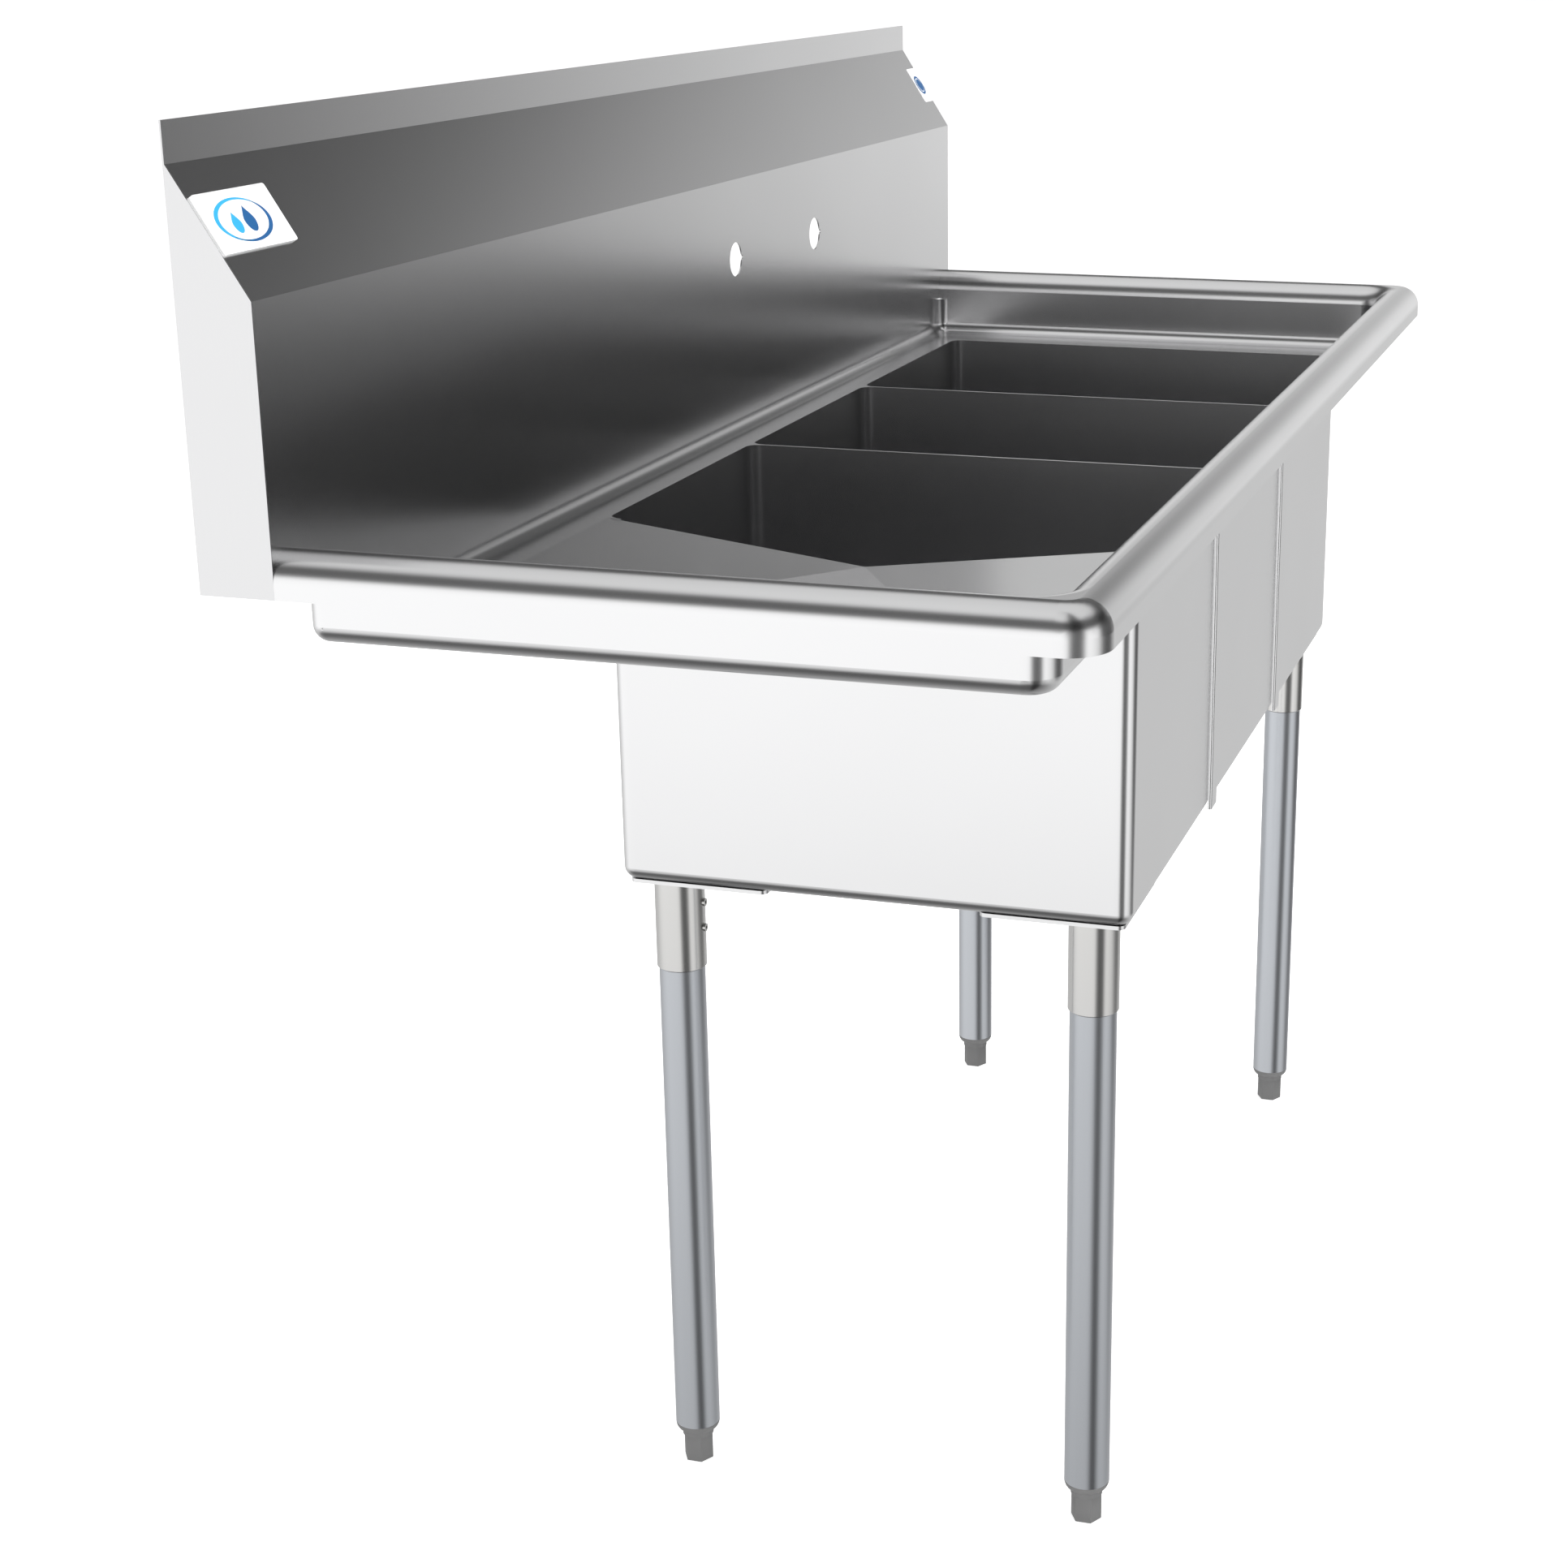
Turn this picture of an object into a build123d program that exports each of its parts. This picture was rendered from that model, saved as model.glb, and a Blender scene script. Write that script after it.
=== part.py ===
from build123d import *
import os

# Three compartment sink of welded stainless sheet: a drainboard on the left, three equal
# bowls side by side, a rolled rim on three sides, a splash guard along the wall and four
# socketed legs. +Z is up, +X runs to the right for someone at the front, the front is at -Y
# and the wall at +Y. The origin is on the floor, under the middle of the plan.

sheet = 1.2  # every pressed sheet

# Plan, from the left rim to the right one and from the wall to the front rim
drainboard_length = 417.0  # left rim to the first bowl's wall
bowl_width = 301.4  # clear inside, along X
bowl_length = 397.6  # clear inside, along Y
bowl_count = 3
right_margin = 90.6  # last bowl's wall to the right rim
splash_depth = 50.0  # splash guard's box, wall to face
back_ledge = 31.3  # splash guard's face to the bowls' back
front_margin = 73.2  # bowls' front to the front rim

# Heights, each counted from the one under it unless it says so
bowl_underside = 516.3  # above the floor
bowl_depth = 281.5  # bowl's floor to the deck
rim_rise = 63.0  # deck to the top of the rim
face_rise = 211.1  # deck to where the splash guard leans back
lean_rise = 76.2
flange_rise = 24.7

# Rolled rim and tray
rim_drop = 28.5  # top of the roll to its open lower edge
rim_width = 37.0
rim_flat = 0.4  # between the two rolled edges
rim_corner = 28.0
tray_corner = 19.0
tray_fillet = 10.0
tray_cove = 10.0  # along the splash guard
board_fall = 24.3  # drainboard's lowest point, under the deck

# Bowls and drains
bowl_corner = 12.0
bowl_fillet = 10.0
strip_width = 24.0
strip_thickness = 3.0
strip_edge_radius = 2.4
cup_radius = 43.0
cup_hole_clearance = 1.5
cup_wall = 1.8
cup_depth = 22.0
drain_flange_overhang = 14.0
drain_flange_thickness = 1.6
outlet_radius = 21.0
outlet_length = 15.0
gasket_thickness = 3.0
nut_height = 8.0
nut_overhang = 11.0
thread_clearance = 0.05
basket_clearance = 1.0
basket_wall = 0.8
basket_recess = 3.2  # bowl's floor to the basket's rim
basket_hole_radius = 2.5
basket_rings = ((0.45, 8), (0.75, 14))  # share of the basket's radius, and holes
basket_post_radius = 4.0
basket_knob_radius = 7.0
basket_knob_height = 4.0

# Splash guard's tap holes
tap_hole_radius = 14.3
tap_hole_spacing = 203.2
tap_hole_rise = 144.9  # above the deck
tap_pair_offset = 175.5  # from the middle of the sink
tap_notch_radius = 2.4

# Legs
leg_inset = 34.5  # bowls' outer wall to a leg's axis
tube_radius = 18.0
tube_wall = 1.2
socket_clearance = 0.08
socket_wall = 1.42
socket_length = 75.5
socket_chamfer = 0.8
plate_size = 111.0
plate_inset = 5.5
plate_thickness = 3.0
plate_corner = 6.0
screw_radius = 3.2
screw_proud = 1.8
screw_drops = (21.8, 42.6)  # below the plate
screw_key_radius = 1.5
tube_gap = 1.0  # tube's end to the plate above it

# Feet
foot_height = 27.5  # floor to the plug
plug_nose = 7.0  # plug's end to the tube's
plug_depth = 40.0  # inside the tube
foot_collar_radius = 12.75
foot_collar_height = 5.0
foot_hex_radius = 12.5  # across corners
foot_bevel = 0.8
stud_radius = 8.0
stud_length = 42.0
stud_clearance = 0.05

# Labels
label_thickness = 0.4
label_height = 39.0
label_slope_place = 49.2  # up the slope to a label's middle
label_left_width = 81.0
label_left_margin = 3.0
label_right_width = 26.5
label_right_margin = 0.5

bowl_pitch = bowl_width + 2 * sheet
bowl_outer_length = bowl_length + 2 * sheet
length = drainboard_length + bowl_count * bowl_pitch + right_margin
depth = splash_depth + back_ledge + bowl_outer_length + front_margin
x_left, x_right = -length / 2, length / 2
y_front, y_wall = -depth / 2, depth / 2
y_face = y_wall - splash_depth
y_bowl_back = y_face - back_ledge
y_bowl_front = y_bowl_back - bowl_outer_length
y_bowl = (y_bowl_back + y_bowl_front) / 2
x_first_bowl = x_left + drainboard_length
x_last_bowl = x_first_bowl + bowl_count * bowl_pitch
bowl_centres = [x_first_bowl + (i + 0.5) * bowl_pitch for i in range(bowl_count)]
bowl_floor = bowl_underside + sheet
deck_height = bowl_floor + bowl_depth
deck_underside = deck_height - sheet
rim_top = deck_height + rim_rise
rim_bottom = rim_top - rim_drop
face_top = deck_height + face_rise
flange_bottom = face_top + lean_rise
overall_height = flange_bottom + flange_rise

os.makedirs("parts", exist_ok=True)


def write(builder, name):
    builder.part.label = name
    export_step(builder.part, f"parts/{name}.step")


def span(low, high):
    """Middle and size of a stretch, for a box or rectangle."""
    return (low + high) / 2, high - low


# The rim is a ring standing in from the sink's outline by `inset`, with both upper edges
# rolled over. The ring runs on behind the splash guard's face and is cut off there.
def rim_ring(inset, bottom):
    beyond_face = 2 * rim_width
    rim_roll = (rim_width - rim_flat) / 2
    hole_x = x_right - rim_width + inset
    hole_front = y_front + rim_width - inset
    outer_y, outer_size = span(y_front + inset, y_face + 2 * beyond_face)
    hole_y, hole_size = span(hole_front, y_face + beyond_face)
    with BuildPart() as ring:
        with BuildSketch(Plane.XY.offset(bottom)):
            with Locations((0, outer_y)):
                outer = Rectangle(length - 2 * inset, outer_size)
            fillet(outer.vertices().sort_by(Axis.Y)[:2], rim_corner - inset)
        extrude(amount=rim_top - inset - bottom)
        with BuildSketch(Plane.XY.offset(bottom)):
            with Locations((0, hole_y)):
                hole = Rectangle(2 * hole_x, hole_size)
            fillet(hole.vertices().sort_by(Axis.Y)[:2], tray_corner + inset)
        extrude(amount=rim_top - inset - bottom, mode=Mode.SUBTRACT)
        rolled = [
            edge
            for edge in ring.edges().group_by(Axis.Z)[-1]
            if edge.center().Y < y_face + beyond_face / 2
        ]
        fillet(rolled, rim_roll - inset)
        split(bisect_by=Plane.XZ.offset(-y_face), keep=Keep.TOP)
    return ring.part


# The tray is a shallow pan inside the rim. grow is 0 for its inside and the sheet's thickness
# for its outside.
def tray_pan(grow, top):
    pan_x = x_right - rim_width + grow
    pan_y, pan_size = span(y_front + rim_width - grow, y_face + grow)
    with BuildPart() as pan:
        with BuildSketch(Plane.XY.offset(deck_height - grow)):
            with Locations((0, pan_y)):
                outline = Rectangle(2 * pan_x, pan_size)
            fillet(outline.vertices().sort_by(Axis.Y)[:2], tray_corner + grow)
        extrude(amount=top - deck_height + grow)
        fillet(pan.edges().group_by(Axis.Z)[0].sort_by(Axis.Y)[-1:], tray_cove + grow)
        fillet(pan.edges().group_by(Axis.Z)[0].sort_by(Axis.Y)[:-1], tray_fillet + grow)
    return pan.part


# The drainboard's hollow: one plane falls towards the first bowl and two fall from the ledges
# to the middle, so that three flat facets meet at the lowest point, on the bowl's edge.
board_left = x_left + rim_width + tray_fillet
board_right = x_first_bowl + sheet
board_half = bowl_length / 2


def board_hollow(drop):
    above = 2 * sheet
    with BuildPart() as hollow:
        with BuildSketch(Plane.XZ.offset(-y_bowl)):
            with BuildLine():
                Polyline(
                    (board_left, deck_height - drop + above),
                    (board_left, deck_height - drop),
                    (board_right, deck_height - drop - board_fall),
                    (board_right, deck_height - drop + above),
                    close=True,
                )
            make_face()
        extrude(amount=board_half, both=True)
        with BuildSketch(Plane.YZ.offset(board_left)):
            with BuildLine():
                Polyline(
                    (y_bowl - board_half, deck_height - drop + above),
                    (y_bowl - board_half, deck_height - drop),
                    (y_bowl, deck_height - drop - board_fall),
                    (y_bowl + board_half, deck_height - drop),
                    (y_bowl + board_half, deck_height - drop + above),
                    close=True,
                )
            make_face()
        extrude(amount=board_right - board_left, mode=Mode.INTERSECT)
    return hollow.part


# Deck: the rolled rim, the tray and the drainboard are one pressed sheet, open over the bowls.
rim_outside = rim_ring(0, rim_bottom)
rim_inside = rim_ring(sheet, rim_bottom - sheet)
tray_outside = tray_pan(sheet, rim_bottom)
tray_inside = tray_pan(0, rim_top)
board_underside = board_hollow(sheet)
board_surface = board_hollow(0)
with BuildPart() as deck_tray:
    add(rim_outside)
    add(rim_inside, mode=Mode.SUBTRACT)
    add(tray_outside)
    add(board_underside)
    add(tray_inside, mode=Mode.SUBTRACT)
    add(board_surface, mode=Mode.SUBTRACT)
    with BuildSketch(Plane.XY.offset(deck_height - board_fall - 2 * sheet)):
        with Locations([(x, y_bowl) for x in bowl_centres]):
            RectangleRounded(bowl_width, bowl_length, bowl_corner - sheet)
    extrude(amount=board_fall + 4 * sheet, mode=Mode.SUBTRACT)
write(deck_tray, "deck_tray")


# Bowls: open boxes hung under the deck, side by side, each with a drain hole in the middle of
# its floor. grow is 0 for a bowl's inside and the sheet's thickness for its outside.
def bowl_box(x_bowl, grow, top):
    with BuildPart() as box:
        with BuildSketch(Plane.XY.offset(bowl_floor - grow)):
            with Locations((x_bowl, y_bowl)):
                RectangleRounded(
                    bowl_width + 2 * grow, bowl_length + 2 * grow, bowl_corner - sheet + grow
                )
        extrude(amount=top - bowl_floor + grow)
        fillet(box.edges().group_by(Axis.Z)[0], bowl_fillet - sheet + grow)
    return box.part


# The first bowl's left wall is cut to the drainboard's fall.
for i, x_bowl in enumerate(bowl_centres):
    bowl_outside = bowl_box(x_bowl, sheet, deck_underside)
    bowl_inside = bowl_box(x_bowl, 0, deck_height)
    with BuildPart() as bowl:
        add(bowl_outside)
        add(bowl_inside, mode=Mode.SUBTRACT)
        with BuildSketch(Plane.XY.offset(bowl_underside)):
            with Locations((x_bowl, y_bowl)):
                Circle(cup_radius + cup_hole_clearance)
        extrude(amount=sheet, mode=Mode.SUBTRACT)
        if i == 0:
            add(board_underside, mode=Mode.SUBTRACT)
    write(bowl, f"bowl_{i + 1}")

# Cover strips over the joints between the bowls, on the front
strip_z, strip_height = span(bowl_underside, deck_underside)
for i in range(1, bowl_count):
    with BuildPart() as cover_strip:
        with Locations((x_first_bowl + i * bowl_pitch, y_bowl_front - strip_thickness / 2, strip_z)):
            Box(strip_width, strip_thickness, strip_height)
        upright = cover_strip.edges().filter_by(Axis.Z)
        fillet(upright.group_by(Axis.Y)[0], strip_edge_radius)
    write(cover_strip, f"cover_strip_{i}")

# Splash guard: one sheet that rises from the tray, leans back to the wall and ends in an
# upright flange. It is open behind and closed by a cap at each end.
y_flange = y_wall - sheet
splash_front = [
    (y_face, rim_bottom),
    (y_face, face_top),
    (y_flange, flange_bottom),
    (y_flange, overall_height),
]
with BuildPart() as splash_guard:
    with BuildSketch(Plane.YZ.offset(x_left + sheet)):
        with BuildLine():
            front_line = Polyline(splash_front)
            offset(front_line, amount=sheet, side=Side.RIGHT)
        make_face()
    extrude(amount=length - 2 * sheet)
    with BuildSketch(Plane.XZ.offset(-y_face)):
        with Locations((tap_pair_offset, deck_height + tap_hole_rise)):
            with GridLocations(tap_hole_spacing, 0, 2, 1):
                Circle(tap_hole_radius)
                with Locations((tap_hole_radius, 0)):
                    Circle(tap_notch_radius)
    extrude(amount=-sheet, mode=Mode.SUBTRACT)
write(splash_guard, "splash_guard")

for side, x_cap in (("left", x_left), ("right", x_right - sheet)):
    with BuildPart() as end_cap:
        with BuildSketch(Plane.YZ.offset(x_cap)):
            with BuildLine():
                Polyline(
                    *splash_front,
                    (y_wall, overall_height),
                    (y_wall, rim_bottom),
                    close=True,
                )
            make_face()
        extrude(amount=sheet)
    write(end_cap, f"splash_cap_{side}")

# Labels on the leaning part of the splash guard, near its ends
lean_y, lean_z = y_flange - y_face, flange_bottom - face_top
lean_length = (lean_y**2 + lean_z**2) ** 0.5
label_share = label_slope_place / lean_length
label_places = (
    ("left", x_left + label_left_margin + label_left_width / 2, label_left_width),
    ("right", x_right - label_right_margin - label_right_width / 2, label_right_width),
)
for side, x_label, label_width in label_places:
    label_plane = Plane(
        origin=(x_label, y_face + label_share * lean_y, face_top + label_share * lean_z),
        x_dir=(1, 0, 0),
        z_dir=(0, -lean_z, lean_y),
    )
    with BuildPart() as label:
        with BuildSketch(label_plane):
            Rectangle(label_width, label_height)
        extrude(amount=label_thickness)
    write(label, f"label_{side}")

# Drains: a cup with a flange on the bowl's floor and an outlet below, a gasket and a nut under
# the floor, and a lift-out basket that stands in the cup.
cup_bottom = bowl_floor - cup_depth
nut_top = bowl_underside - gasket_thickness
nut_radius = cup_radius + nut_overhang
ring_bore = cup_radius + thread_clearance
basket_radius = cup_radius - cup_wall - basket_clearance
basket_bottom = cup_bottom + cup_wall
basket_top = bowl_floor - basket_recess
knob_bottom = basket_top - basket_knob_height
for i, x_bowl in enumerate(bowl_centres):
    with BuildPart() as drain_cup:
        with BuildSketch(Plane.XY.offset(cup_bottom)):
            with Locations((x_bowl, y_bowl)):
                Circle(cup_radius)
        extrude(amount=cup_depth)
        with BuildSketch(Plane.XY.offset(bowl_floor)):
            with Locations((x_bowl, y_bowl)):
                Circle(cup_radius + drain_flange_overhang)
        extrude(amount=drain_flange_thickness)
        chamfer(drain_cup.edges().group_by(Axis.Z)[-1], drain_flange_thickness / 2)
        with BuildSketch(Plane.XY.offset(cup_bottom)):
            with Locations((x_bowl, y_bowl)):
                Circle(outlet_radius)
        extrude(amount=-outlet_length)
        with BuildSketch(Plane.XY.offset(basket_bottom)):
            with Locations((x_bowl, y_bowl)):
                Circle(cup_radius - cup_wall)
        extrude(amount=cup_depth + drain_flange_thickness, mode=Mode.SUBTRACT)
        with BuildSketch(Plane.XY.offset(cup_bottom - outlet_length)):
            with Locations((x_bowl, y_bowl)):
                Circle(outlet_radius - cup_wall)
        extrude(amount=outlet_length + cup_wall, mode=Mode.SUBTRACT)
    write(drain_cup, f"drain_cup_{i + 1}")

    with BuildPart() as drain_gasket:
        with BuildSketch(Plane.XY.offset(nut_top)):
            with Locations((x_bowl, y_bowl)):
                Circle(nut_radius)
                Circle(ring_bore, mode=Mode.SUBTRACT)
        extrude(amount=gasket_thickness)
    write(drain_gasket, f"drain_gasket_{i + 1}")

    with BuildPart() as drain_nut:
        with BuildSketch(Plane.XY.offset(nut_top - nut_height)):
            with Locations((x_bowl, y_bowl)):
                RegularPolygon(nut_radius, 8)
                Circle(ring_bore, mode=Mode.SUBTRACT)
        extrude(amount=nut_height)
    write(drain_nut, f"drain_nut_{i + 1}")

    with BuildPart() as drain_basket:
        with BuildSketch(Plane.XY.offset(basket_bottom)):
            with Locations((x_bowl, y_bowl)):
                Circle(basket_radius)
        extrude(amount=basket_top - basket_bottom)
        with BuildSketch(Plane.XY.offset(basket_bottom + basket_wall)):
            with Locations((x_bowl, y_bowl)):
                Circle(basket_radius - basket_wall)
        extrude(amount=basket_top - basket_bottom, mode=Mode.SUBTRACT)
        with BuildSketch(Plane.XY.offset(basket_bottom)):
            with Locations((x_bowl, y_bowl)):
                for share, holes in basket_rings:
                    with PolarLocations(share * basket_radius, holes):
                        Circle(basket_hole_radius)
        extrude(amount=basket_wall, mode=Mode.SUBTRACT)
        with BuildSketch(Plane.XY.offset(basket_bottom)):
            with Locations((x_bowl, y_bowl)):
                Circle(basket_post_radius)
        extrude(amount=knob_bottom - basket_bottom)
        with BuildSketch(Plane.XY.offset(knob_bottom)):
            with Locations((x_bowl, y_bowl)):
                Circle(basket_knob_radius)
        extrude(amount=basket_knob_height)
    write(drain_basket, f"drain_basket_{i + 1}")

# Legs, one under each corner of the row of bowls: a welded plate, a socket with two set
# screws, a tube, a plug in the tube's end and a screw-in foot. The sockets are turned a
# quarter at a time round the sink, and so are their screws.
leg_corners = (
    ("back_left", -1, 1, -90),
    ("front_left", -1, -1, 0),
    ("front_right", 1, -1, 90),
    ("back_right", 1, 1, 180),
)
x_bowls, bowls_span = span(x_first_bowl, x_last_bowl)
leg_out_x, leg_out_y = bowls_span / 2 - leg_inset, bowl_outer_length / 2 - leg_inset
plate_reach = leg_inset - plate_inset - plate_size / 2
plate_bottom = bowl_underside - plate_thickness
socket_bore = tube_radius + socket_clearance
socket_radius = socket_bore + socket_wall
socket_bottom = plate_bottom - socket_length
tube_bottom = foot_height + plug_nose
for corner, side_x, side_y, screw_turn in leg_corners:
    x_leg, y_leg = x_bowls + side_x * leg_out_x, y_bowl + side_y * leg_out_y
    with BuildPart() as leg_plate:
        with BuildSketch(Plane.XY.offset(plate_bottom)):
            with Locations((x_leg + side_x * plate_reach, y_leg + side_y * plate_reach)):
                RectangleRounded(plate_size, plate_size, plate_corner)
        extrude(amount=plate_thickness)
    write(leg_plate, f"leg_plate_{corner}")

    screw_way = Vector(1, 0, 0).rotate(Axis.Z, screw_turn)
    screw_planes = [
        Plane((x_leg, y_leg, plate_bottom - drop), x_dir=(0, 0, 1), z_dir=screw_way)
        for drop in screw_drops
    ]
    with BuildPart() as leg_socket:
        with BuildSketch(Plane.XY.offset(socket_bottom)):
            with Locations((x_leg, y_leg)):
                Circle(socket_radius)
        extrude(amount=plate_bottom - socket_bottom)
        chamfer(leg_socket.edges().group_by(Axis.Z)[0], socket_chamfer)
        with BuildSketch(Plane.XY.offset(socket_bottom)):
            with Locations((x_leg, y_leg)):
                Circle(socket_bore)
        extrude(amount=plate_bottom - socket_bottom, mode=Mode.SUBTRACT)
        for screw_plane in screw_planes:
            with BuildSketch(screw_plane):
                Circle(screw_radius)
            extrude(amount=2 * socket_radius, mode=Mode.SUBTRACT)
    write(leg_socket, f"leg_socket_{corner}")

    with BuildPart() as set_screws:
        for screw_plane in screw_planes:
            with BuildSketch(screw_plane.offset(socket_bore)):
                Circle(screw_radius)
            extrude(amount=socket_radius + screw_proud - socket_bore)
            with BuildSketch(screw_plane.offset(socket_radius)):
                RegularPolygon(screw_key_radius, 6)
            extrude(amount=screw_proud, mode=Mode.SUBTRACT)
    write(set_screws, f"set_screws_{corner}")

    with BuildPart() as leg_tube:
        with BuildSketch(Plane.XY.offset(tube_bottom)):
            with Locations((x_leg, y_leg)):
                Circle(tube_radius)
                Circle(tube_radius - tube_wall, mode=Mode.SUBTRACT)
        extrude(amount=plate_bottom - tube_gap - tube_bottom)
    write(leg_tube, f"leg_tube_{corner}")

    # Plug: its rounded nose carries the tube's outside down to the foot's collar.
    with BuildPart() as leg_plug:
        with BuildSketch(Plane((x_leg, y_leg, foot_height), x_dir=(1, 0, 0), z_dir=(0, -1, 0))):
            with BuildLine():
                Polyline(
                    (tube_radius, plug_nose),
                    (tube_radius - tube_wall, plug_nose),
                    (tube_radius - tube_wall, plug_nose + plug_depth),
                    (stud_radius + stud_clearance, plug_nose + plug_depth),
                    (stud_radius + stud_clearance, 0),
                    (foot_collar_radius, 0),
                )
                EllipticalCenterArc(
                    (foot_collar_radius, plug_nose),
                    tube_radius - foot_collar_radius,
                    plug_nose,
                    start_angle=-90,
                    arc_size=90,
                )
            make_face()
        revolve(axis=Axis((x_leg, y_leg, 0), (0, 0, 1)))
    write(leg_plug, f"leg_plug_{corner}")

    with BuildPart() as foot:
        with BuildSketch():
            with Locations((x_leg, y_leg)):
                RegularPolygon(foot_hex_radius, 6, rotation=90)
        extrude(amount=foot_height - foot_collar_height)
        chamfer(foot.edges().group_by(Axis.Z)[0], foot_bevel)
        with BuildSketch(Plane.XY.offset(foot_height - foot_collar_height)):
            with Locations((x_leg, y_leg)):
                Circle(foot_collar_radius)
        extrude(amount=foot_collar_height)
        with BuildSketch(Plane.XY.offset(foot_height)):
            with Locations((x_leg, y_leg)):
                Circle(stud_radius)
        extrude(amount=stud_length)
    write(foot, f"foot_{corner}")
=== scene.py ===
import math
import bpy
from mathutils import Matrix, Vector


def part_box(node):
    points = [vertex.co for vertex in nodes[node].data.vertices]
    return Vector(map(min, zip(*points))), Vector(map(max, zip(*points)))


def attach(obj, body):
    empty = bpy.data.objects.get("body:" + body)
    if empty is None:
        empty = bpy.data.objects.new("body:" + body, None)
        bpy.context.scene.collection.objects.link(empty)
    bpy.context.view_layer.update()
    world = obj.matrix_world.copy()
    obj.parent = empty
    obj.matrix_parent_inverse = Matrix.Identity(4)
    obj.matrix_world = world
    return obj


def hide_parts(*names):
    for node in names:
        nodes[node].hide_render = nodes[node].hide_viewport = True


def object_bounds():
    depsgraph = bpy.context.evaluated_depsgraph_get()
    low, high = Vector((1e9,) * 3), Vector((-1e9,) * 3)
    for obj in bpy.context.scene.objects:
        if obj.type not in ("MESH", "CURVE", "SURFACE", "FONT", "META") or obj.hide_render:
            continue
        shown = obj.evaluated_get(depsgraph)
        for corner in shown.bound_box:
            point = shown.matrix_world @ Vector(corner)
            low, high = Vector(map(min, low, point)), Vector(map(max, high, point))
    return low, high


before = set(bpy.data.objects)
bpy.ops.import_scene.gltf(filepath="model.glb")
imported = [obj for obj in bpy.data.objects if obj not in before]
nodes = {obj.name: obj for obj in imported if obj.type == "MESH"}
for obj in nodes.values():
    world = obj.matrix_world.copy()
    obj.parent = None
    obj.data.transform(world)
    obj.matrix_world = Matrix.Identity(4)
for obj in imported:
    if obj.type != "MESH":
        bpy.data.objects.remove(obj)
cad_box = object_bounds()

# Camera: stands off the sink's left end, a little in front of it and above the rim.
camera_data = bpy.data.cameras.new("camera")
camera_data.lens = 62.43
camera_data.sensor_width = 36.0
camera_data.shift_x = -0.1215
camera_data.shift_y = -0.0070
camera = bpy.data.objects.new("camera", camera_data)
camera.location = (-2.1072, -0.6013, 1.2228)
camera.rotation_euler = (math.radians(72.46), 0.0, math.radians(-74.16))
bpy.context.collection.objects.link(camera)
bpy.context.scene.camera = camera
bpy.context.scene.view_settings.view_transform = "Standard"

# Studio: a white room whose upper walls fall into shade, so that the steel shows bands of
# light and dark as it turns. The floor is a plain white sweep.
world = bpy.data.worlds.new("studio")
bpy.context.scene.world = world
world.use_nodes = True
wn, wl = world.node_tree.nodes, world.node_tree.links
wn.clear()


def world_ramp(value, stops):
    node = wn.new("ShaderNodeValToRGB")
    ramp = node.color_ramp
    ramp.interpolation = "EASE"
    while len(ramp.elements) < len(stops):
        ramp.elements.new(0.5)
    for element, (place, level) in zip(ramp.elements, stops):
        element.position = place
        element.color = (level, level, level, 1.0)
    wl.new(value, node.inputs["Fac"])
    return node.outputs["Color"]


direction = wn.new("ShaderNodeTexCoord")
axes = wn.new("ShaderNodeSeparateXYZ")
wl.new(direction.outputs["Generated"], axes.inputs[0])


def world_share(axis):
    """How far a direction lies along an axis, from 0 at its low end to 1 at its high end."""
    node = wn.new("ShaderNodeMath")
    node.operation = "MULTIPLY_ADD"
    wl.new(axes.outputs[axis], node.inputs[0])
    node.inputs[1].default_value = 0.5
    node.inputs[2].default_value = 0.5
    return node.outputs[0]


def world_darkened(light, mask):
    node = wn.new("ShaderNodeMix")
    node.data_type = "RGBA"
    node.blend_type = "MULTIPLY"
    node.inputs["Factor"].default_value = 1.0
    wl.new(light, node.inputs["A"])
    wl.new(mask, node.inputs["B"])
    return node.outputs["Result"]


def world_facing(ways, towards):
    """How nearly a direction points the way of `towards`, 1 being straight at it."""
    node = wn.new("ShaderNodeVectorMath")
    node.operation = "DOT_PRODUCT"
    node.inputs[1].default_value = Vector(towards).normalized()
    wl.new(ways, node.inputs[0])
    return node.outputs["Value"]


# Walls by height, from straight down at 0 through the horizon at 0.5 to straight up at 1.
height = world_share("Z")
near_side = world_ramp(height, (
    (0.0, 0.12), (0.13, 0.12), (0.25, 0.80), (0.30, 1.05), (0.36, 1.40),
    (0.46, 1.36), (0.55, 1.30), (0.70, 0.13), (0.84, 0.12), (0.94, 0.90),
))
far_side = world_ramp(height, (
    (0.0, 0.40), (0.30, 0.70), (0.42, 0.74), (0.47, 1.0), (0.54, 0.95),
    (0.61, 0.64), (0.705, 0.08), (0.80, 0.10), (0.91, 0.80),
))
sides = wn.new("ShaderNodeMix")
sides.data_type = "RGBA"
wl.new(world_ramp(world_share("X"), ((0.25, 0.0), (0.75, 1.0))), sides.inputs["Factor"])
wl.new(near_side, sides.inputs["A"])
wl.new(far_side, sides.inputs["B"])

# Two dark flags stand in the room: one in front to the right, one upright in front to the left.
shade_way = world_facing(direction.outputs["Generated"], (0.62, -0.78, 0.05))
shade = world_ramp(shade_way, ((0.80, 1.0), (0.96, 0.12)))
level = wn.new("ShaderNodeVectorMath")
level.operation = "MULTIPLY"
level.inputs[1].default_value = (1.0, 1.0, 0.0)
wl.new(direction.outputs["Generated"], level.inputs[0])
compass = wn.new("ShaderNodeVectorMath")
compass.operation = "NORMALIZE"
wl.new(level.outputs["Vector"], compass.inputs[0])
flag_way = world_facing(compass.outputs["Vector"], (-0.75, -0.66, 0.0))
flag = world_ramp(flag_way, ((0.90, 1.0), (0.992, 0.12)))
flagged = world_darkened(world_darkened(sides.outputs["Result"], shade), flag)
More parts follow.
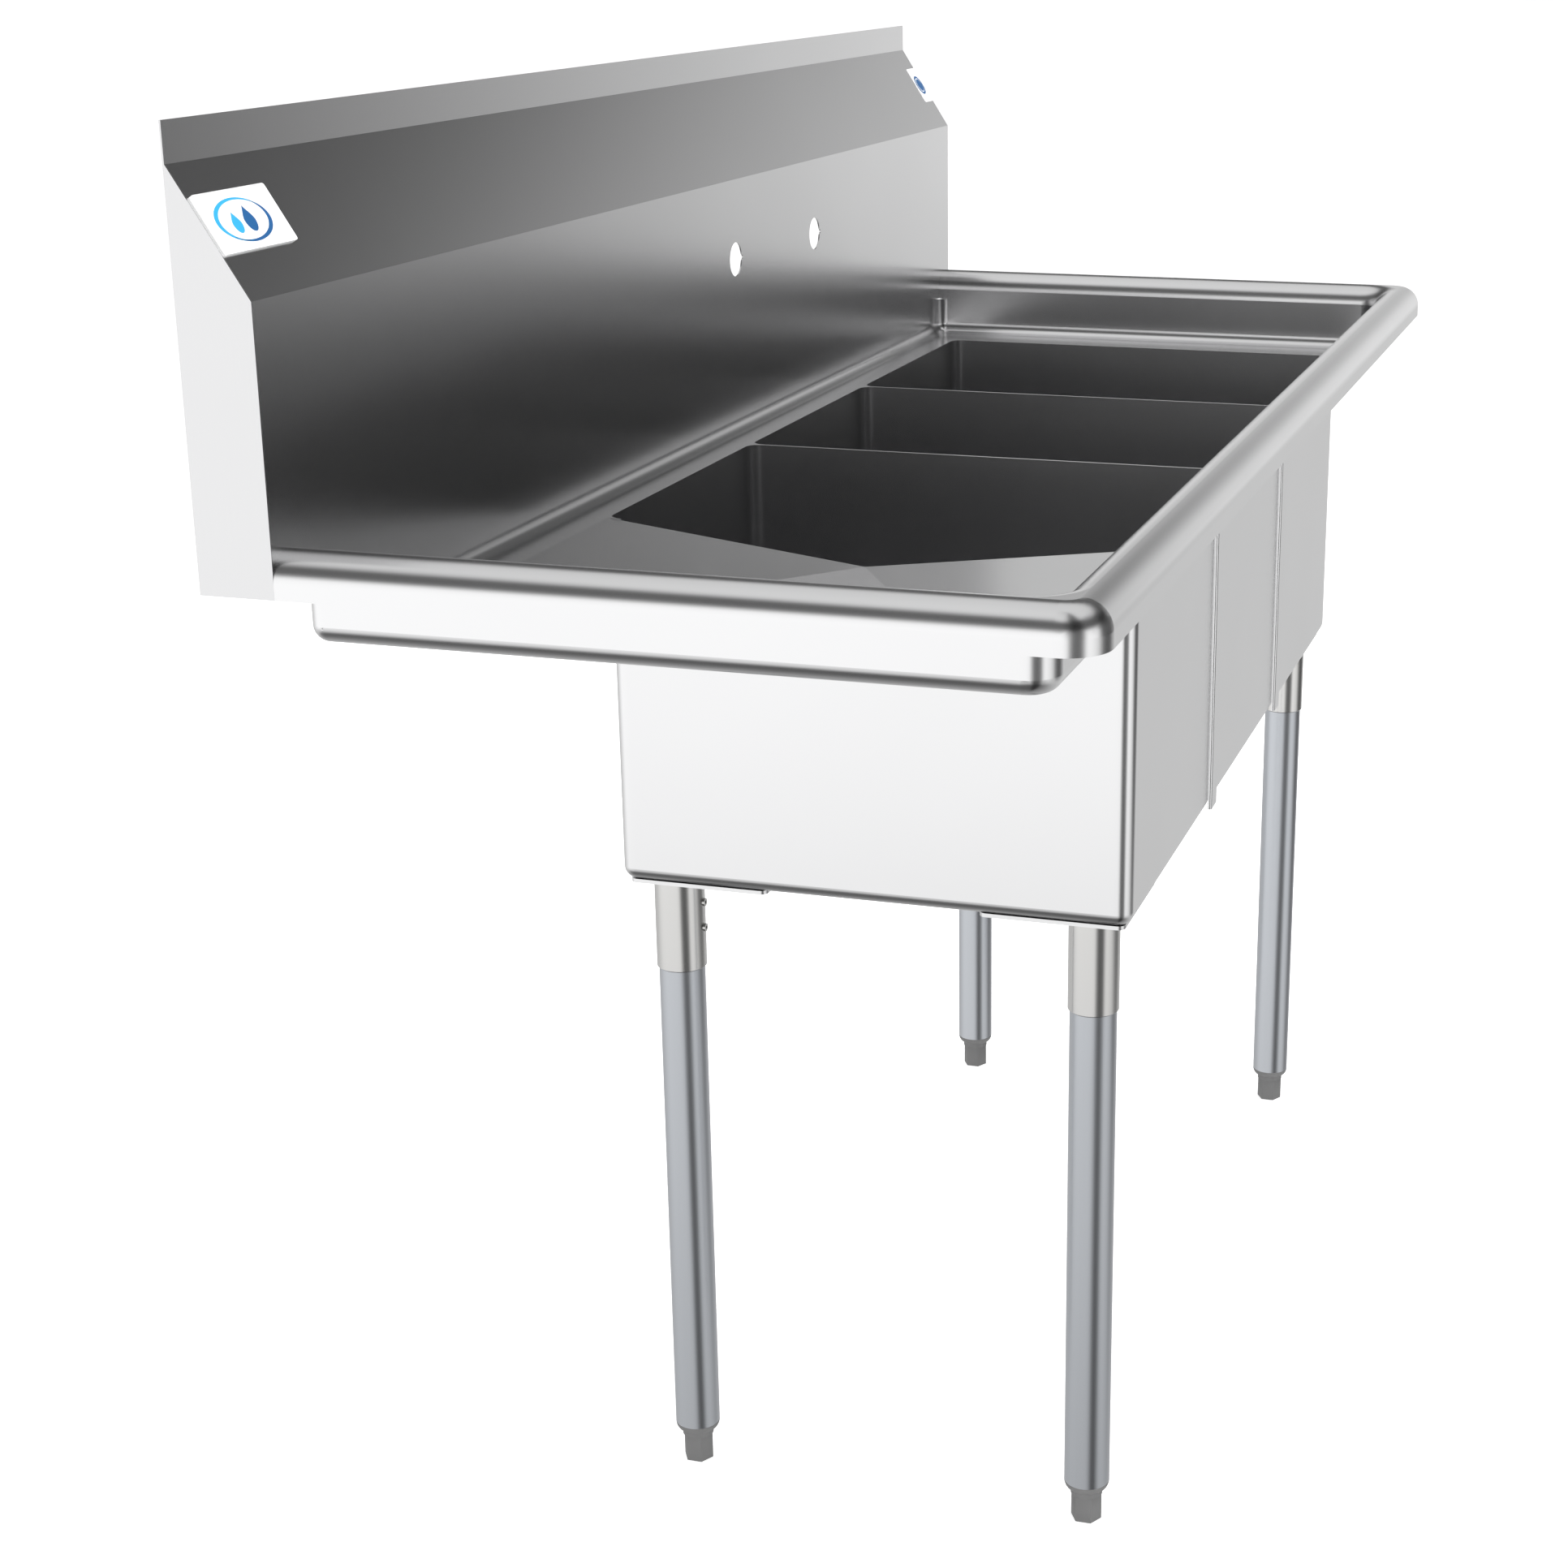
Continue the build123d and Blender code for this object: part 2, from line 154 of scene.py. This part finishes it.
studio_light = wn.new("ShaderNodeBackground")
wl.new(flagged, studio_light.inputs["Color"])
plain_white = wn.new("ShaderNodeBackground")
plain_white.inputs["Color"].default_value = (1.0, 1.0, 1.0, 1.0)
seen = wn.new("ShaderNodeLightPath")
either = wn.new("ShaderNodeMixShader")
world_output = wn.new("ShaderNodeOutputWorld")
wl.new(seen.outputs["Is Camera Ray"], either.inputs[0])
wl.new(studio_light.outputs[0], either.inputs[1])
wl.new(plain_white.outputs[0], either.inputs[2])
wl.new(either.outputs[0], world_output.inputs["Surface"])

# Lights: two soft panels, one overhead and one to the left, that the steel does not mirror.
for light_name, place, aim, size, power in (
    ("ceiling_light", (0.0, -0.4, 3.6), (0.0, 0.0, 0.0), 4.0, 150.0),
    ("left_light", (-3.2, -1.6, 1.2), (0.0, 0.0, 0.6), 2.4, 60.0),
):
    light_data = bpy.data.lights.new(light_name, "AREA")
    light_data.size = size
    light_data.energy = power
    light = bpy.data.objects.new(light_name, light_data)
    light.location = place
    light.visible_glossy = False
    light.rotation_euler = (Vector(aim) - Vector(place)).to_track_quat("-Z", "Y").to_euler()
    bpy.context.collection.objects.link(light)

bpy.ops.object.select_all(action="DESELECT")
bpy.ops.mesh.primitive_plane_add(size=80.0, location=(0.0, 0.0, cad_box[0][2] - 0.0005))
floor = bpy.context.object
floor.name = "studio_floor"
bpy.ops.object.transform_apply(location=True, rotation=True, scale=True)
floor_paint = bpy.data.materials.new("floor_paint")
floor_paint.use_nodes = True
floor_shader = floor_paint.node_tree.nodes["Principled BSDF"]
floor_shader.inputs["Base Color"].default_value = (0.92, 0.92, 0.92, 1.0)
floor_shader.inputs["Roughness"].default_value = 0.9
floor_shader.inputs["Emission Color"].default_value = (1.0, 1.0, 1.0, 1.0)
floor_shader.inputs["Emission Strength"].default_value = 0.70
floor.visible_glossy = False
floor.data.materials.append(floor_paint)

# Sheet steel: cold-rolled stainless, rubbed one way on a belt. The rubbing leaves fine lines
# that catch the light unevenly, and a faint cloudiness over a hand's width.
grain = bpy.data.node_groups.new("belt_grain", "ShaderNodeTree")
for socket_name, way, kind in (
    ("Vector", "INPUT", "NodeSocketVector"), ("Fineness", "INPUT", "NodeSocketFloat"),
    ("Base Roughness", "INPUT", "NodeSocketFloat"), ("Base Color", "INPUT", "NodeSocketColor"),
    ("Roughness", "OUTPUT", "NodeSocketFloat"), ("Height", "OUTPUT", "NodeSocketFloat"),
    ("Color", "OUTPUT", "NodeSocketColor"),
):
    grain.interface.new_socket(name=socket_name, in_out=way, socket_type=kind)
gn, gl = grain.nodes, grain.links
g_in, g_out = gn.new("NodeGroupInput"), gn.new("NodeGroupOutput")
lines = gn.new("ShaderNodeTexNoise")
lines.inputs["Detail"].default_value = 3.0
gl.new(g_in.outputs["Vector"], lines.inputs["Vector"])
gl.new(g_in.outputs["Fineness"], lines.inputs["Scale"])
clouds = gn.new("ShaderNodeTexNoise")
clouds.inputs["Scale"].default_value = 7.0
clouds.inputs["Detail"].default_value = 2.0
place = gn.new("ShaderNodeTexCoord")
gl.new(place.outputs["Object"], clouds.inputs["Vector"])
spread = gn.new("ShaderNodeMapRange")
spread.inputs["To Min"].default_value = -0.01
spread.inputs["To Max"].default_value = 0.01
gl.new(lines.outputs["Fac"], spread.inputs["Value"])
drift = gn.new("ShaderNodeMapRange")
drift.inputs["To Min"].default_value = -0.012
drift.inputs["To Max"].default_value = 0.012
gl.new(clouds.outputs["Fac"], drift.inputs["Value"])
rough_a = gn.new("ShaderNodeMath")
gl.new(g_in.outputs["Base Roughness"], rough_a.inputs[0])
gl.new(spread.outputs["Result"], rough_a.inputs[1])
rough_b = gn.new("ShaderNodeMath")
gl.new(rough_a.outputs[0], rough_b.inputs[0])
gl.new(drift.outputs["Result"], rough_b.inputs[1])
dim = gn.new("ShaderNodeMapRange")
dim.inputs["To Min"].default_value = 0.99
dim.inputs["To Max"].default_value = 1.01
gl.new(lines.outputs["Fac"], dim.inputs["Value"])
tint = gn.new("ShaderNodeVectorMath")
tint.operation = "SCALE"
gl.new(g_in.outputs["Base Color"], tint.inputs[0])
gl.new(dim.outputs["Result"], tint.inputs["Scale"])
gl.new(rough_b.outputs[0], g_out.inputs["Roughness"])
gl.new(lines.outputs["Fac"], g_out.inputs["Height"])
gl.new(tint.outputs["Vector"], g_out.inputs["Color"])


def rubbed_metal(name, color, roughness, across, bump=0.006, fineness=1.0):
    """Metal rubbed one way: the grain is fine on the `across` axes and long on the others."""
    metal = bpy.data.materials.new(name)
    metal.use_nodes = True
    mn, ml = metal.node_tree.nodes, metal.node_tree.links
    shader = mn["Principled BSDF"]
    shader.inputs["Metallic"].default_value = 1.0
    where = mn.new("ShaderNodeTexCoord")
    stretch = mn.new("ShaderNodeMapping")
    stretch.inputs["Scale"].default_value = [1500.0 if axis in across else 14.0 for axis in "XYZ"]
    grained = mn.new("ShaderNodeGroup")
    grained.node_tree = grain
    grained.inputs["Fineness"].default_value = fineness
    grained.inputs["Base Roughness"].default_value = roughness
    grained.inputs["Base Color"].default_value = (*color, 1.0)
    relief = mn.new("ShaderNodeBump")
    relief.inputs["Strength"].default_value = bump
    relief.inputs["Distance"].default_value = 0.0002
    ml.new(where.outputs["Object"], stretch.inputs["Vector"])
    ml.new(stretch.outputs["Vector"], grained.inputs["Vector"])
    ml.new(grained.outputs["Roughness"], shader.inputs["Roughness"])
    ml.new(grained.outputs["Color"], shader.inputs["Base Color"])
    ml.new(grained.outputs["Height"], relief.inputs["Height"])
    ml.new(relief.outputs["Normal"], shader.inputs["Normal"])
    return metal


def finish_nodes(material, *names):
    for name in names:
        mesh = nodes[name].data
        mesh.materials.clear()
        mesh.materials.append(material)


guard_steel = rubbed_metal("guard_steel", (0.74, 0.74, 0.745), 0.22, "X", bump=0.003)
deck_steel = rubbed_metal("deck_steel", (0.74, 0.74, 0.745), 0.24, "Y", bump=0.001)
bowl_steel = rubbed_metal("bowl_steel", (0.74, 0.74, 0.745), 0.25, "XY", bump=0.0015)
cap_steel = rubbed_metal("cap_steel", (0.68, 0.68, 0.685), 0.30, "Y")
finish_nodes(guard_steel, "splash_guard")
finish_nodes(cap_steel, "splash_cap_left", "splash_cap_right")
finish_nodes(deck_steel, "deck_tray")
finish_nodes(bowl_steel, "bowl_1", "bowl_2", "bowl_3", "cover_strip_1", "cover_strip_2")

# Legs: plates and turned sockets of stainless, and tubes of galvanised steel, which is bluer
# and duller, with zinc's faint mottling.
socket_steel = rubbed_metal("socket_steel", (0.62, 0.615, 0.605), 0.24, "XY")
zinc_tube = rubbed_metal("zinc_tube", (0.52, 0.54, 0.57), 0.33, "XY", fineness=0.6)
drain_steel = rubbed_metal("drain_steel", (0.76, 0.76, 0.76), 0.2, "Y")
corners = ("back_left", "front_left", "front_right", "back_right")
for corner in corners:
    finish_nodes(bowl_steel, f"leg_plate_{corner}")
    finish_nodes(socket_steel, f"leg_socket_{corner}", f"set_screws_{corner}")
    finish_nodes(zinc_tube, f"leg_tube_{corner}")
for number in (1, 2, 3):
    finish_nodes(drain_steel, f"drain_cup_{number}", f"drain_basket_{number}")


# Moulded parts: grey feet and plugs, the pale nuts and the black gaskets under the bowls, each
# with the slight orange peel that a mould leaves.
def moulded(name, color, roughness):
    plastic = bpy.data.materials.new(name)
    plastic.use_nodes = True
    pn, pl = plastic.node_tree.nodes, plastic.node_tree.links
    shader = pn["Principled BSDF"]
    where = pn.new("ShaderNodeTexCoord")
    peel = pn.new("ShaderNodeTexNoise")
    peel.inputs["Scale"].default_value = 900.0
    relief = pn.new("ShaderNodeBump")
    relief.inputs["Strength"].default_value = 0.15
    relief.inputs["Distance"].default_value = 0.0002
    patch = pn.new("ShaderNodeTexNoise")
    patch.inputs["Scale"].default_value = 40.0
    shades = pn.new("ShaderNodeValToRGB")
    shades.color_ramp.elements[0].color = (*[c * 0.9 for c in color], 1.0)
    shades.color_ramp.elements[1].color = (*[min(1.0, c * 1.1) for c in color], 1.0)
    pl.new(where.outputs["Object"], peel.inputs["Vector"])
    pl.new(where.outputs["Object"], patch.inputs["Vector"])
    pl.new(patch.outputs["Fac"], shades.inputs["Fac"])
    pl.new(shades.outputs["Color"], shader.inputs["Base Color"])
    pl.new(peel.outputs["Fac"], relief.inputs["Height"])
    pl.new(relief.outputs["Normal"], shader.inputs["Normal"])
    shader.inputs["Roughness"].default_value = roughness
    return plastic


foot_plastic = moulded("foot_plastic", (0.15, 0.15, 0.15), 0.5)
nut_plastic = moulded("nut_plastic", (0.72, 0.72, 0.70), 0.5)
gasket_rubber = moulded("gasket_rubber", (0.03, 0.03, 0.03), 0.7)
for corner in corners:
    finish_nodes(foot_plastic, f"leg_plug_{corner}")
for number in (1, 2, 3):
    finish_nodes(nut_plastic, f"drain_nut_{number}")
    finish_nodes(gasket_rubber, f"drain_gasket_{number}")

# Feet: one grey moulding each, a hexagon for a spanner, a collar and a threaded stud that goes
# up into the plug. Each turn of the thread is a ridge with a worn flat crest.
stud_radius, thread_depth, thread_pitch = 0.0079, 0.0009, 0.003
hexagon_height, collar_height, foot_height = 0.0225, 0.0046, 0.0275
hexagon_radius, collar_radius, collar_chamfer = 0.0125, 0.01265, 0.0006
for corner in corners:
    low, high = (Vector(c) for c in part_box(f"foot_{corner}"))
    middle_x, middle_y = (low.x + high.x) / 2, (low.y + high.y) / 2
    bpy.ops.object.select_all(action="DESELECT")
    bpy.ops.mesh.primitive_circle_add(
        vertices=6, radius=hexagon_radius, fill_type="NGON", location=(middle_x, middle_y, low.z)
    )
    foot = bpy.context.object
    foot.name = f"screw_foot_{corner}"
    bpy.ops.object.transform_apply(location=True, rotation=True, scale=True)
    bpy.ops.object.mode_set(mode="EDIT")
    bpy.ops.mesh.select_all(action="SELECT")
    bpy.ops.mesh.extrude_region_move(TRANSFORM_OT_translate={"value": (0.0, 0.0, hexagon_height)})
    bpy.ops.mesh.select_all(action="SELECT")
    bpy.ops.mesh.normals_make_consistent(inside=False)
    bpy.ops.mesh.bevel(offset=0.00035, segments=2)
    bpy.ops.mesh.select_all(action="DESELECT")
    bpy.ops.mesh.primitive_circle_add(
        vertices=48, radius=collar_radius, fill_type="NGON",
        location=(middle_x, middle_y, low.z + hexagon_height - 0.0001),
    )
    bpy.ops.mesh.extrude_region_move(TRANSFORM_OT_translate={"value": (0.0, 0.0, collar_height)})
    bpy.ops.mesh.inset(thickness=collar_chamfer)
    bpy.ops.transform.translate(value=(0.0, 0.0, 0.0005))
    bpy.ops.mesh.inset(thickness=collar_radius - collar_chamfer - stud_radius + thread_depth)
    stud_top = high.z - 0.0004
    height_now = low.z + foot_height
    while height_now + thread_pitch < stud_top:
        for rise, grow in ((0.35, 1), (0.15, 0), (0.35, -1), (0.15, 0)):
            bpy.ops.mesh.extrude_region_move(
                TRANSFORM_OT_translate={"value": (0.0, 0.0, rise * thread_pitch)}
            )
            if grow:
                root = stud_radius - thread_depth
                change = stud_radius / root if grow > 0 else root / stud_radius
                bpy.ops.transform.resize(
                    value=(change, change, 1.0), center_override=(middle_x, middle_y, 0.0)
                )
        height_now += thread_pitch
    bpy.ops.mesh.select_all(action="SELECT")
    bpy.ops.mesh.normals_make_consistent(inside=False)
    bpy.ops.object.mode_set(mode="OBJECT")
    bpy.ops.object.shade_smooth_by_angle(angle=math.radians(30.0))
    foot.data.materials.append(foot_plastic)
    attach(foot, f"foot_{corner}")
    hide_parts(f"foot_{corner}")

# Weld beads: a small rippled fillet of melted steel round the top of each socket, where it
# meets its plate.
bead_ring_radius, bead_radius = 0.0199, 0.0014
ripple_height, ripple_count = 0.00012, 32.0
for corner in corners:
    low, high = (Vector(c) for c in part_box(f"leg_socket_{corner}"))
    tube_low, tube_high = (Vector(c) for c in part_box(f"leg_tube_{corner}"))
    middle_x, middle_y = (tube_low.x + tube_high.x) / 2, (tube_low.y + tube_high.y) / 2
    bpy.ops.object.select_all(action="DESELECT")
    bpy.ops.mesh.primitive_torus_add(
        location=(middle_x, middle_y, high.z), major_segments=96, minor_segments=12,
        major_radius=bead_ring_radius, minor_radius=bead_radius,
    )
    bead = bpy.context.object
    bead.name = f"weld_bead_{corner}"
    bpy.ops.object.transform_apply(location=True, rotation=True, scale=True)
    for vertex in bead.data.vertices:
        x, y = vertex.co.x - middle_x, vertex.co.y - middle_y
        ripple = ripple_height * math.sin(ripple_count * math.atan2(y, x))
        vertex.co.z = min(vertex.co.z - max(0.0, ripple), high.z - 0.00002)
    bpy.ops.object.mode_set(mode="EDIT")
    bpy.ops.mesh.select_all(action="SELECT")
    bpy.ops.mesh.remove_doubles(threshold=0.00001)
    bpy.ops.mesh.normals_make_consistent(inside=False)
    bpy.ops.object.mode_set(mode="OBJECT")
    bpy.ops.object.shade_smooth()
    bead.data.materials.append(socket_steel)
    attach(bead, "sink")

# Labels: a white film on the leaning sheet, with its corners cut round. Each carries a plain
# printed mark: two drops inside an open ring on the left one, and a disc with a white ring on
# it on the right one.
label_lean = (0.0, 0.0488, 0.0762)
film_length_up, film_thickness, film_corner = 0.039, 0.0003, 0.002
ink_dark = moulded("ink_dark", (0.01, 0.10, 0.28), 0.4)
ink_light = moulded("ink_light", (0.03, 0.38, 0.72), 0.4)
film_white = moulded("film_white", (0.93, 0.93, 0.93), 0.35)


def label_spot(side):
    """Middle of a label's outer face, and the unit ways across it, up it and out of it."""
    low, high = (Vector(c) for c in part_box(f"label_{side}"))
    across = Vector((1.0, 0.0, 0.0))
    up = Vector(label_lean).normalized()
    out = across.cross(up)
    return (low + high) / 2, across, up, out, high.x - low.x


def lay_on_label(piece, spot, lift):
    """Moves flat work from the floor plan onto the leaning sheet."""
    middle, across, up, out, _ = spot
    for vertex in piece.data.vertices:
        x, y, z = vertex.co
        vertex.co = middle + across * x + up * y + out * (z + lift)
    piece.data.update()


def printed(name, spot, material, lift):
    piece = bpy.context.object
    piece.name = name
    piece.data.materials.append(material)
    lay_on_label(piece, spot, lift)
    bpy.ops.object.mode_set(mode="EDIT")
    bpy.ops.mesh.select_all(action="SELECT")
    bpy.ops.mesh.normals_make_consistent(inside=False)
    bpy.ops.object.mode_set(mode="OBJECT")
    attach(piece, "sink")
    return piece


film_half = film_thickness / 2
ink_lift = 0.00006
for side in ("left", "right"):
    spot = label_spot(side)
    bpy.ops.object.select_all(action="DESELECT")
    bpy.ops.mesh.primitive_cube_add(size=1.0)
    film = bpy.context.object
    bpy.ops.object.mode_set(mode="EDIT")
    bpy.ops.transform.resize(value=(spot[4], film_length_up, film_thickness))
    bpy.ops.mesh.select_all(action="DESELECT")
    bpy.ops.object.mode_set(mode="OBJECT")
    for edge in film.data.edges:
        one, two = (film.data.vertices[i].co for i in edge.vertices)
        edge.select = abs(one.z - two.z) > 0.0001
    bpy.ops.object.mode_set(mode="EDIT")
    bpy.ops.mesh.select_mode(type="EDGE")
    bpy.ops.mesh.bevel(offset=film_corner, segments=5)
    bpy.ops.object.mode_set(mode="OBJECT")
    printed(f"label_film_{side}", spot, film_white, 0.0)
    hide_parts(f"label_{side}")

left_spot, right_spot = label_spot("left"), label_spot("right")


def ring_of_ink(name, spot, radius, width, stretch, start, sweep, material, layer=1):
    """A flat open ring, thick in the middle of its sweep and fine at its ends."""
    bpy.ops.object.select_all(action="DESELECT")
    bpy.ops.mesh.primitive_plane_add(size=1.0)
    ring = bpy.context.object
    bpy.ops.object.mode_set(mode="EDIT")
    bpy.ops.mesh.subdivide(number_cuts=40)
    bpy.ops.object.mode_set(mode="OBJECT")
    for vertex in ring.data.vertices:
        share, side_share = vertex.co.x + 0.5, vertex.co.y
        angle = math.radians(start + sweep * share)
        reach = radius + side_share * width * (0.15 + 0.85 * math.sin(math.pi * share))
        vertex.co = (
            stretch * reach * math.cos(angle),
            reach * math.sin(angle),
            0.0,
        )
    printed(name, spot, material, film_half + ink_lift * layer)


ring_of_ink("mark_ring_light", left_spot, 0.0138, 0.0022, 2.0, 35.0, 230.0, ink_light)
ring_of_ink("mark_ring_dark", left_spot, 0.0138, 0.0022, 2.0, 225.0, 190.0, ink_dark)


def drop_of_ink(name, spot, size, place, material):
    """A flat filled drop with its point up."""
    bpy.ops.object.select_all(action="DESELECT")
    bpy.ops.mesh.primitive_circle_add(vertices=48, radius=1.0, fill_type="NGON")
    drop = bpy.context.object
    bpy.ops.object.mode_set(mode="EDIT")
    bpy.ops.mesh.inset(thickness=0.3)
    bpy.ops.object.mode_set(mode="OBJECT")
    for vertex in drop.data.vertices:
        x, y, _ = vertex.co
        narrow = max(0.0, 1.0 - max(0.0, y) ** 1.5)
        vertex.co = (place[0] + size * 0.8 * x * narrow, place[1] + size * (1.35 * y if y > 0 else y), 0.0)
    printed(name, spot, material, film_half + ink_lift)


drop_of_ink("mark_drop_light", left_spot, 0.0062, (-0.009, -0.002), ink_light)
drop_of_ink("mark_drop_dark", left_spot, 0.0075, (0.006, -0.001), ink_dark)

bpy.ops.object.select_all(action="DESELECT")
bpy.ops.mesh.primitive_circle_add(vertices=64, radius=0.0105, fill_type="NGON")
bpy.ops.object.mode_set(mode="EDIT")
bpy.ops.mesh.inset(thickness=0.003)
bpy.ops.object.mode_set(mode="OBJECT")
printed("mark_disc", right_spot, ink_dark, film_half + ink_lift)
ring_of_ink("mark_disc_ring", right_spot, 0.0075, 0.0012, 1.0, 0.0, 360.0, film_white, layer=2)
